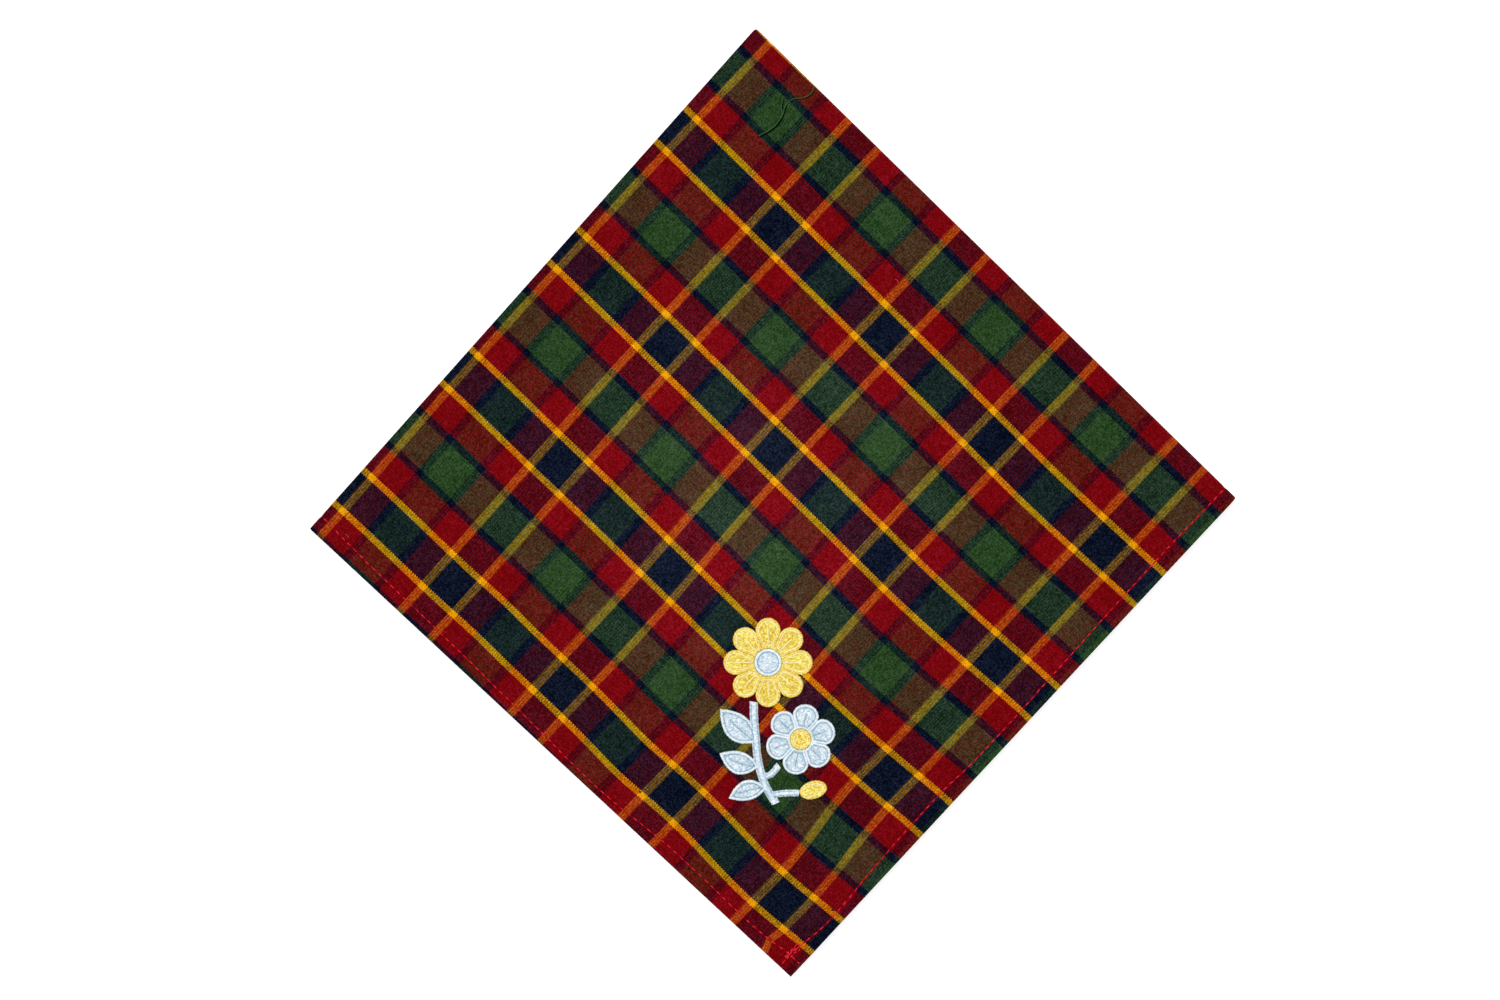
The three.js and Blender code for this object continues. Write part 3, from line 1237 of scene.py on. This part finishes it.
@dataclass
class Embroidery:
    """One piece of satin and fill stitching over low pads, on the calm patch of cloth.

    Heights are over the ground. The pairs are the least and the most of what varies
    from stitch to stitch.
    """

    node: str
    slot: str
    finishes: Sequence[Material]
    pick: random.Random
    ground: float = 5.05
    pad_height: float = 0.45
    low: float = 0.5
    high: float = 0.92
    swell_reach: float = 2.6
    row_pitch: float = 0.44
    shortest_row: float = 0.3
    shortest_stitch: float = 0.5
    stitch_length: float = 2.6
    first_stitch: Point = (0.15, 1.0)
    next_stitch: Point = (0.8, 1.2)
    row_drift: Point = (-0.06, 0.06)
    row_lift: Point = (-0.05, 0.05)
    sink: float = 0.16
    satin_pitch: float = 0.44
    border_foot: float = 0.25
    border_height: float = 0.95
    border_slant: Point = (0.1, 0.3)
    border_reach: Point = (0.9, 1.12)
    border_out: Point = (-0.05, 0.08)
    band_foot: float = 0.12
    band_height: float = 1.0
    band_lean: float = 0.25
    band_reach: Point = (0.93, 1.05)
    line_stitch: float = 0.7
    line_height: float = 0.84
    line_bow: float = 0.1
    contour_pitch: float = 0.6

    def __post_init__(self) -> None:
        """Start the piece's threads."""
        self.work = ThreadWork(self.node + "_satin", self.finishes)

    def lay(self, points: Iterable[tuple[complex, float]], stitch: Stitch) -> None:
        """Lay one stitch through its spots, each with its height."""
        route = [Vector((spot.real, spot.imag, self.ground + height)) for spot, height in points]
        self.work.run(route, stitch.radii, stitch.slot)

    def fill(self, loop: Loop, angle: float, inset: float = 0.45) -> None:
        """Fill an outline with rows of short stitches over a pad.

        Args:
            loop: The outline.
            angle: The rows' direction, in radians.
            inset: How far the rows stay inside the outline.
        """
        self.work.pad(loop, self.ground - 0.02, self.ground + self.pad_height)
        heading = cmath.rect(1.0, angle)
        turned = [spot * heading.conjugate() for spot in loop]
        row = min(spot.imag for spot in turned) + self.row_pitch / 2
        while row < max(spot.imag for spot in turned):
            crossings = sorted(
                (start + (end - start) * (start.imag - row) / (start.imag - end.imag)).real
                for start, end in sides(turned)
                if (start.imag < row) != (end.imag < row)
            )
            for start, end in zip(crossings[::2], crossings[1::2]):
                self.row(loop, (start + inset, end - inset), row, heading)
            row += self.row_pitch

    def row(self, loop: Loop, span: Point, row: float, heading: complex) -> None:
        """Lay one row of a fill as stitches end to end.

        Args:
            loop: The outline, whose middle swells.
            span: Where the row starts and ends.
            row: How far the row lies aside.
            heading: The row's direction.
        """
        start, end = span
        if end - start < self.shortest_row:
            return
        pick = self.pick
        holes = [start]
        hole = start + self.stitch_length * pick.uniform(*self.first_stitch)
        while hole < end - self.shortest_stitch:
            holes.append(hole)
            hole += self.stitch_length * pick.uniform(*self.next_stitch)
        for start, end in zip(holes, [*holes[1:], end]):
            drift, lift = pick.uniform(*self.row_drift), pick.uniform(*self.row_lift)
            points = []
            for share, bow in Stitch.FILL.bows:
                spot = heading * complex(start + (end - start) * share, row + drift * bow)
                swell = 1 - math.exp(-nearest_edge(loop, spot) / self.swell_reach)
                height = self.low + (self.high - self.low) * swell + lift * bow
                points.append((spot, height - self.sink * (1 - bow)))
            self.lay(points, Stitch.FILL)

    def border(self, loop: Loop, width: float) -> None:
        """Cover an outline's rim with short stitches across it.

        Args:
            loop: The outline, anticlockwise.
            width: The stitches' length.
        """
        heights = [
            self.border_foot + (self.border_height - self.border_foot) * bow ** 0.6
            for _, bow in Stitch.BORDER.bows[:-1]
        ]
        for spot, heading in headings(evenly(loop, self.satin_pitch, True), True):
            slant = self.pick.uniform(*self.border_slant)
            reach = width * self.pick.uniform(*self.border_reach)
            out = self.pick.uniform(*self.border_out)
            points = [
                (spot + heading * complex(slant * share, reach * share - out), height)
                for (share, _), height in zip(Stitch.BORDER.bows, [*heights, self.low])
            ]
            self.lay(points, Stitch.BORDER)

    def satin(self, route: Loop, width: float) -> None:
        """Cover a band with stitches from side to side.

        Args:
            route: The band's middle line.
            width: The band's width.
        """
        rise = self.band_height - self.band_foot
        for spot, heading in headings(evenly(route, self.satin_pitch, False), False):
            slant = complex(self.band_lean, width / 2 * self.pick.uniform(*self.band_reach))
            points = [
                (spot + heading * slant * (2 * share - 1), self.band_foot + rise * bow ** 0.7)
                for share, bow in Stitch.SATIN.bows
            ]
            self.lay(points, Stitch.SATIN)

    def contour(self, loop: Loop, inset: float) -> None:
        """Lay a fine closed line of small stitches inside an outline.

        Args:
            loop: The outline, anticlockwise.
            inset: How far inside the outline the line lies.
        """
        rim = headings(evenly(loop, self.contour_pitch, True), True)
        spots = [spot + heading * 1j * inset for spot, heading in rim]
        inner = [spot for spot in spots if nearest_edge(loop, spot) > 0.94 * inset]
        self.line([*inner, inner[0]], self.line_height)

    def line(self, route: Loop, height: float) -> None:
        """Lay a fine line of small stitches over a fill.

        Args:
            route: Its middle line.
            height: How high it lies over the ground.
        """
        spots = evenly(route, self.line_stitch, False)
        for start, end in zip(spots, spots[1:]):
            points = [
                (start + (end - start) * share, height + self.line_bow * bow)
                for share, bow in Stitch.LINE.bows
            ]
            self.lay(points, Stitch.LINE)

    def patch(self, loop: Loop, angle: float, width: float, inset: float) -> None:
        """Work one outline in full.

        Args:
            loop: The outline, anticlockwise.
            angle: The direction of the fill's rows, in radians.
            width: The length of the border's stitches.
            inset: How far inside the outline its contour lies.
        """
        self.fill(loop, angle)
        self.border(loop, width)
        self.contour(loop, inset)

    def done(self) -> Piece:
        """Finish the piece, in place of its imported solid."""
        return dress(self.work.build(), self.slot, self.node)


@dataclass(frozen=True)
class Bloom:
    """One flower: its name, middle, size, petals, eye, turn in degrees and two slots."""

    name: str
    middle: complex
    radius: float
    petals: int
    eye: float
    turn: float
    slot: str
    eye_slot: str


@dataclass(frozen=True)
class Leaf:
    """A pointed leaf from root to tip, fuller on one side by its bend."""

    root: complex
    tip: complex
    width: float
    bend: float


@dataclass(frozen=True)
class Stalk:
    """A band of even width along a smooth route."""

    width: float
    route: tuple[complex, ...]


def oval(middle: complex, length: float, width: float, turn: float) -> Loop:
    """Draw an eye or a bud anticlockwise, with its length turned by radians."""
    rim = (cmath.rect(0.5, 2 * math.pi * i / 36) for i in range(36))
    return [middle + cmath.rect(1.0, turn) * complex(length * a.real, width * a.imag) for a in rim]


@dataclass
class Spray:
    """The embroidered spray: two blooms, stalks, three leaves and a bud.

    Places are from the middle of the spray.
    """

    threads: dict[str, list[Material]]
    middle: complex = 1.6 - 80j
    cleft: float = 0.34
    fullness: float = 0.5
    eye_gap: float = 0.3
    side_gap: float = 0.12
    rim_share: float = 0.985
    row_sway: float = 0.12
    vein_gap: float = 1.6
    vein_share: float = 0.76
    vein_rise: float = 0.12
    eye_turn: float = 50.0
    stalk_rim: float = 0.6
    leaf_lean: float = 0.6
    stalk_steps: int = 8
    leaf_steps: int = 12
    blooms: tuple[Bloom, ...] = (
        Bloom("upper", -3.5 + 18.5j, 17.0, 8, 5.2, 0.0, "yellow_thread", "pale_blue_thread"),
        Bloom("lower", 9 - 11j, 13.5, 6, 3.9, 18.0, "pale_blue_thread", "yellow_thread"),
    )
    stalks: tuple[Stalk, ...] = (
        Stalk(
            3.0,
            (-9 + 3.2j, -8.9 - 2.5j, -8.3 - 10j, -7.2 - 20j, -4.4 - 29j, -0.6 - 35.4j),
        ),
        Stalk(2.4, (-6 - 25.5j, -2.4 - 24.4j, 0.5 - 21.1j)),
        Stalk(2.4, (-3 - 32.4j, 3 - 31.6j, 8.2 - 31.6j)),
    )
    leaves: tuple[Leaf, ...] = (
        Leaf(-7.8 - 12j, -21.8 + 0.5j, 10.0, 1.6),
        Leaf(-7.2 - 21.5j, -22 - 16.5j, 8.5, 2.0),
        Leaf(-4.2 - 29.5j, -18.5 - 33.5j, 7.5, -2.0),
    )
    bud_middle: complex = 13.8 - 30.4j
    bud_size: Point = (10.5, 6.6)
    bud_turn: float = 16.0
    pick: random.Random = field(default_factory=lambda: random.Random(11))

    def piece(self, node: str, slot: str) -> Embroidery:
        """Start one embroidered piece."""
        return Embroidery(node, slot, self.threads[slot], self.pick)

    def petal(self, bloom: Bloom, axis: float) -> Loop:
        """Draw one petal.

        Args:
            bloom: The bloom.
            axis: The petal's direction, in radians.

        Returns:
            Its outline, anticlockwise.
        """
        half = math.pi / bloom.petals
        inner = bloom.eye + self.eye_gap
        foot = half * (1 - self.side_gap / inner)
        rim = [(inner, foot * (1 - i / 3)) for i in range(7)]
        for angle in (half * self.rim_share * (i / 9 - 1) for i in range(19)):
            swell = abs(math.cos(bloom.petals * angle / 2)) ** self.fullness
            rim.append((bloom.radius * (1 - self.cleft * (1 - swell)), angle))
        middle = self.middle + bloom.middle
        return [middle + cmath.rect(reach, axis + angle) for reach, angle in rim]

    def build_bloom(self, bloom: Bloom) -> list[Piece]:
        """Embroider one bloom and its eye.

        Args:
            bloom: The bloom.

        Returns:
            The petals' piece and the eye's.
        """
        middle = self.middle + bloom.middle
        petals = self.piece("bloom_" + bloom.name, bloom.slot)
        for number in range(bloom.petals):
            axis = 2 * math.pi * number / bloom.petals + math.radians(bloom.turn)
            angle = axis + self.row_sway * (-1) ** number
            petals.patch(self.petal(bloom, axis), angle, width=0.85, inset=1.05)
            vein = bloom.eye + self.vein_gap, bloom.radius * self.vein_share
            line = [middle + cmath.rect(reach, axis) for reach in vein]
            petals.line(line, petals.high + self.vein_rise)
        eye = self.piece("eye_" + bloom.name, bloom.eye_slot)
        ring = oval(middle, 2 * bloom.eye, 2 * bloom.eye, 0.0)
        eye.patch(ring, math.radians(bloom.turn + self.eye_turn), width=1.0, inset=1.2)
        return [petals.done(), eye.done()]

    def leaf_halves(self, leaf: Leaf) -> tuple[Loop, Loop, Loop]:
        """Draw a leaf.

        Args:
            leaf: The leaf.

        Returns:
            Its whole outline and its two halves, all anticlockwise.
        """
        root, tip = self.middle + leaf.root, self.middle + leaf.tip
        aside = (tip - root) * 1j / abs(tip - root)
        lines = []
        for out in (leaf.bend + leaf.width, leaf.bend - leaf.width, leaf.bend):
            bow = root + 0.45 * (tip - root) + aside * out
            steps = (i / self.leaf_steps for i in range(self.leaf_steps + 1))
            lines.append([(1 - t) ** 2 * root + 2 * t * (1 - t) * bow + t * t * tip for t in steps])
        upper, lower, spine = lines
        return lower + upper[-2:0:-1], lower + spine[-2:0:-1], spine + upper[-2:0:-1]

    def build_sprig(self) -> Piece:
        """Embroider the stalks and leaves.

        Returns:
            The piece.
        """
        sprig = self.piece("sprig", "pale_blue_thread")
        for stalk in self.stalks:
            knots = [self.middle + spot for spot in stalk.route]
            knots = [2 * knots[0] - knots[1], *knots, 2 * knots[-1] - knots[-2]]
            route = smooth_line(knots, self.stalk_steps)
            sprig.satin(route, stalk.width)
            rows = [(start, end - start) for start, end in zip(route[1:-2], route[2:-1])]
            for side in (-1j, 1j):
                aside = side * (stalk.width / 2 - self.stalk_rim)
                line = [spot + way / abs(way) * aside for spot, way in rows]
                sprig.line(line, sprig.line_height)
        for leaf in self.leaves:
            whole, lower, upper = self.leaf_halves(leaf)
            heading = cmath.phase(leaf.tip - leaf.root)
            sprig.fill(lower, heading - self.leaf_lean, inset=0.2)
            sprig.fill(upper, heading + self.leaf_lean, inset=0.2)
            sprig.border(whole, width=0.9)
            sprig.contour(whole, inset=1.1)
            sprig.line(upper[1 : self.leaf_steps - 2], sprig.high)
        return sprig.done()

    def build(self) -> list[Piece]:
        """Embroider the whole spray.

        Returns:
            Its pieces.
        """
        pieces = [piece for bloom in self.blooms for piece in self.build_bloom(bloom)]
        pieces.append(self.build_sprig())
        bud = self.piece("bud", "yellow_thread")
        turn = math.radians(self.bud_turn)
        loop = oval(self.middle + self.bud_middle, *self.bud_size, turn)
        bud.patch(loop, turn, width=0.9, inset=1.1)
        return [*pieces, bud.done()]


@dataclass
class Studio:
    """The pale floor, the soft light and the camera straight above."""

    picture_middle: Point = (-8.83, 0.78)
    picture_width: float = 575.25
    picture_height_at: float = 5.0
    lens: float = 85.0
    sensor: float = 36.0
    floor_size: float = 24000.0
    floor_depth: float = 0.1
    floor_colour: Triple = (0.97, 0.97, 0.97)
    floor_glow: float = 0.42
    key_place: Triple = (-900.0, 1000.0, 2200.0)
    key_size: float = 1400.0
    key_power: float = 24.0
    world_strength: float = 0.86

    def floor(self) -> None:
        """Lay the floor just under the cloth."""
        shader = Shader("pale_floor")
        place = shader.add("ShaderNodeTexCoord", {}).outputs["Object"]
        mottle = shader.math("MULTIPLY_ADD", shader.noise(place, 3.0, 2.0), 0.02, 0.99)
        shader.feed(shader.surface, {
            "Base Color": shader.mix(1.0, (*self.floor_colour, 1.0), mottle, blend_type="MULTIPLY"),
            "Roughness": 1.0,
            "Specular IOR Level": 0.0,
            "Emission Color": (1.0, 1.0, 1.0, 1.0),
            "Emission Strength": self.floor_glow,
        })
        ground = bmesh.new()
        bmesh.ops.create_grid(ground, x_segments=1, y_segments=1, size=self.floor_size / 2 * MM)
        bmesh.ops.translate(ground, verts=ground.verts[:], vec=(0, 0, -self.floor_depth * MM))
        finished("floor", ground, [shader.material])

    def light(self) -> None:
        """Hang one broad soft light to the upper left, in an even white room."""
        world = bpy.data.worlds.new("white_room")
        world.use_nodes = True
        room = world.node_tree.nodes["Background"].inputs
        room["Color"].default_value = (1, 1, 1, 1)
        room["Strength"].default_value = self.world_strength
        bpy.context.scene.world = world
        lamp = bpy.data.lights.new("key", "AREA")
        lamp.size = self.key_size * MM
        lamp.energy = self.key_power
        holder = bpy.data.objects.new("key", lamp)
        holder.location = Vector(self.key_place) * MM
        holder.rotation_euler = (-holder.location).to_track_quat("-Z", "Y").to_euler()
        bpy.context.scene.collection.objects.link(holder)

    def camera(self) -> None:
        """Look straight down, framed as the photograph is."""
        data = bpy.data.cameras.new("camera")
        data.lens = self.lens
        data.sensor_width = self.sensor
        away = self.lens / self.sensor * self.picture_width + self.picture_height_at
        holder = bpy.data.objects.new("camera", data)
        holder.location = Vector((*self.picture_middle, away)) * MM
        bpy.context.scene.collection.objects.link(holder)
        bpy.context.scene.camera = holder

    def build(self) -> None:
        """Set up the floor, the light, the camera and a plain picture."""
        self.floor()
        self.light()
        self.camera()
        bpy.context.scene.view_settings.view_transform = "Standard"


def threads_of(shades: dict[str, tuple[Triple, Triple]], **looks: float) -> list[Material]:
    """Make threads from their names and their deep and pale shades."""
    return [Thread(name, deep, pale, **looks).make() for name, (deep, pale) in shades.items()]


def main() -> None:
    """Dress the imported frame, piece by piece."""
    logging.basicConfig(level=logging.INFO, format="%(name)s: %(message)s")
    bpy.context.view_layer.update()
    Studio().build()
    kerchief = Kerchief()
    cloth = dress(kerchief.build(CheckCotton().make()), "check_cotton", "kerchief")
    # The first red is partly the stitches' own colour and partly a painted highlight; the second,
    # darker red is painted shade where they dive into the cloth.
    red_threads = threads_of({
        "red_thread": ((0.58, 0.004, 0.012), (0.84, 0.035, 0.06)),
        "red_painted_shade_thread": ((0.28, 0.0, 0.004), (0.42, 0.0, 0.01)),
    }, specular=0.0)
    # The second green is near black: the painted shadow beside the loose thread, and also the dark
    # knots.
    loose_threads = threads_of({
        "green_thread": ((0.034, 0.09, 0.028), (0.06, 0.13, 0.045)),
        "painted_shadow_and_dark_knots": ((0.001, 0.004, 0.002), (0.003, 0.009, 0.004)),
        "pink_lint": ((0.42, 0.06, 0.09), (0.55, 0.12, 0.15)),
    }, specular=0.0)
    spray_threads = {
        "yellow_thread": threads_of({
            "yellow_fill": ((0.75, 0.47, 0.02), (1.0, 0.96, 0.28)),
            "yellow_border": ((0.80, 0.55, 0.06), (1.0, 0.88, 0.28)),
            "yellow_line": ((0.95, 0.82, 0.40), (1.0, 0.95, 0.62)),
        }),
        "pale_blue_thread": threads_of({
            "pale_blue_fill": ((0.48, 0.64, 0.75), (0.94, 0.98, 1.0)),
            "pale_blue_border": ((0.66, 0.78, 0.85), (0.93, 0.98, 1.0)),
            "pale_blue_line": ((0.24, 0.39, 0.51), (0.42, 0.56, 0.67)),
        }),
    }
    on_cloth = [
        Topstitching(kerchief, red_threads).build(),
        LooseThread(kerchief, loose_threads).build(),
        *Spray(spray_threads).build(),
    ]


if __name__ == "__main__":
    main()
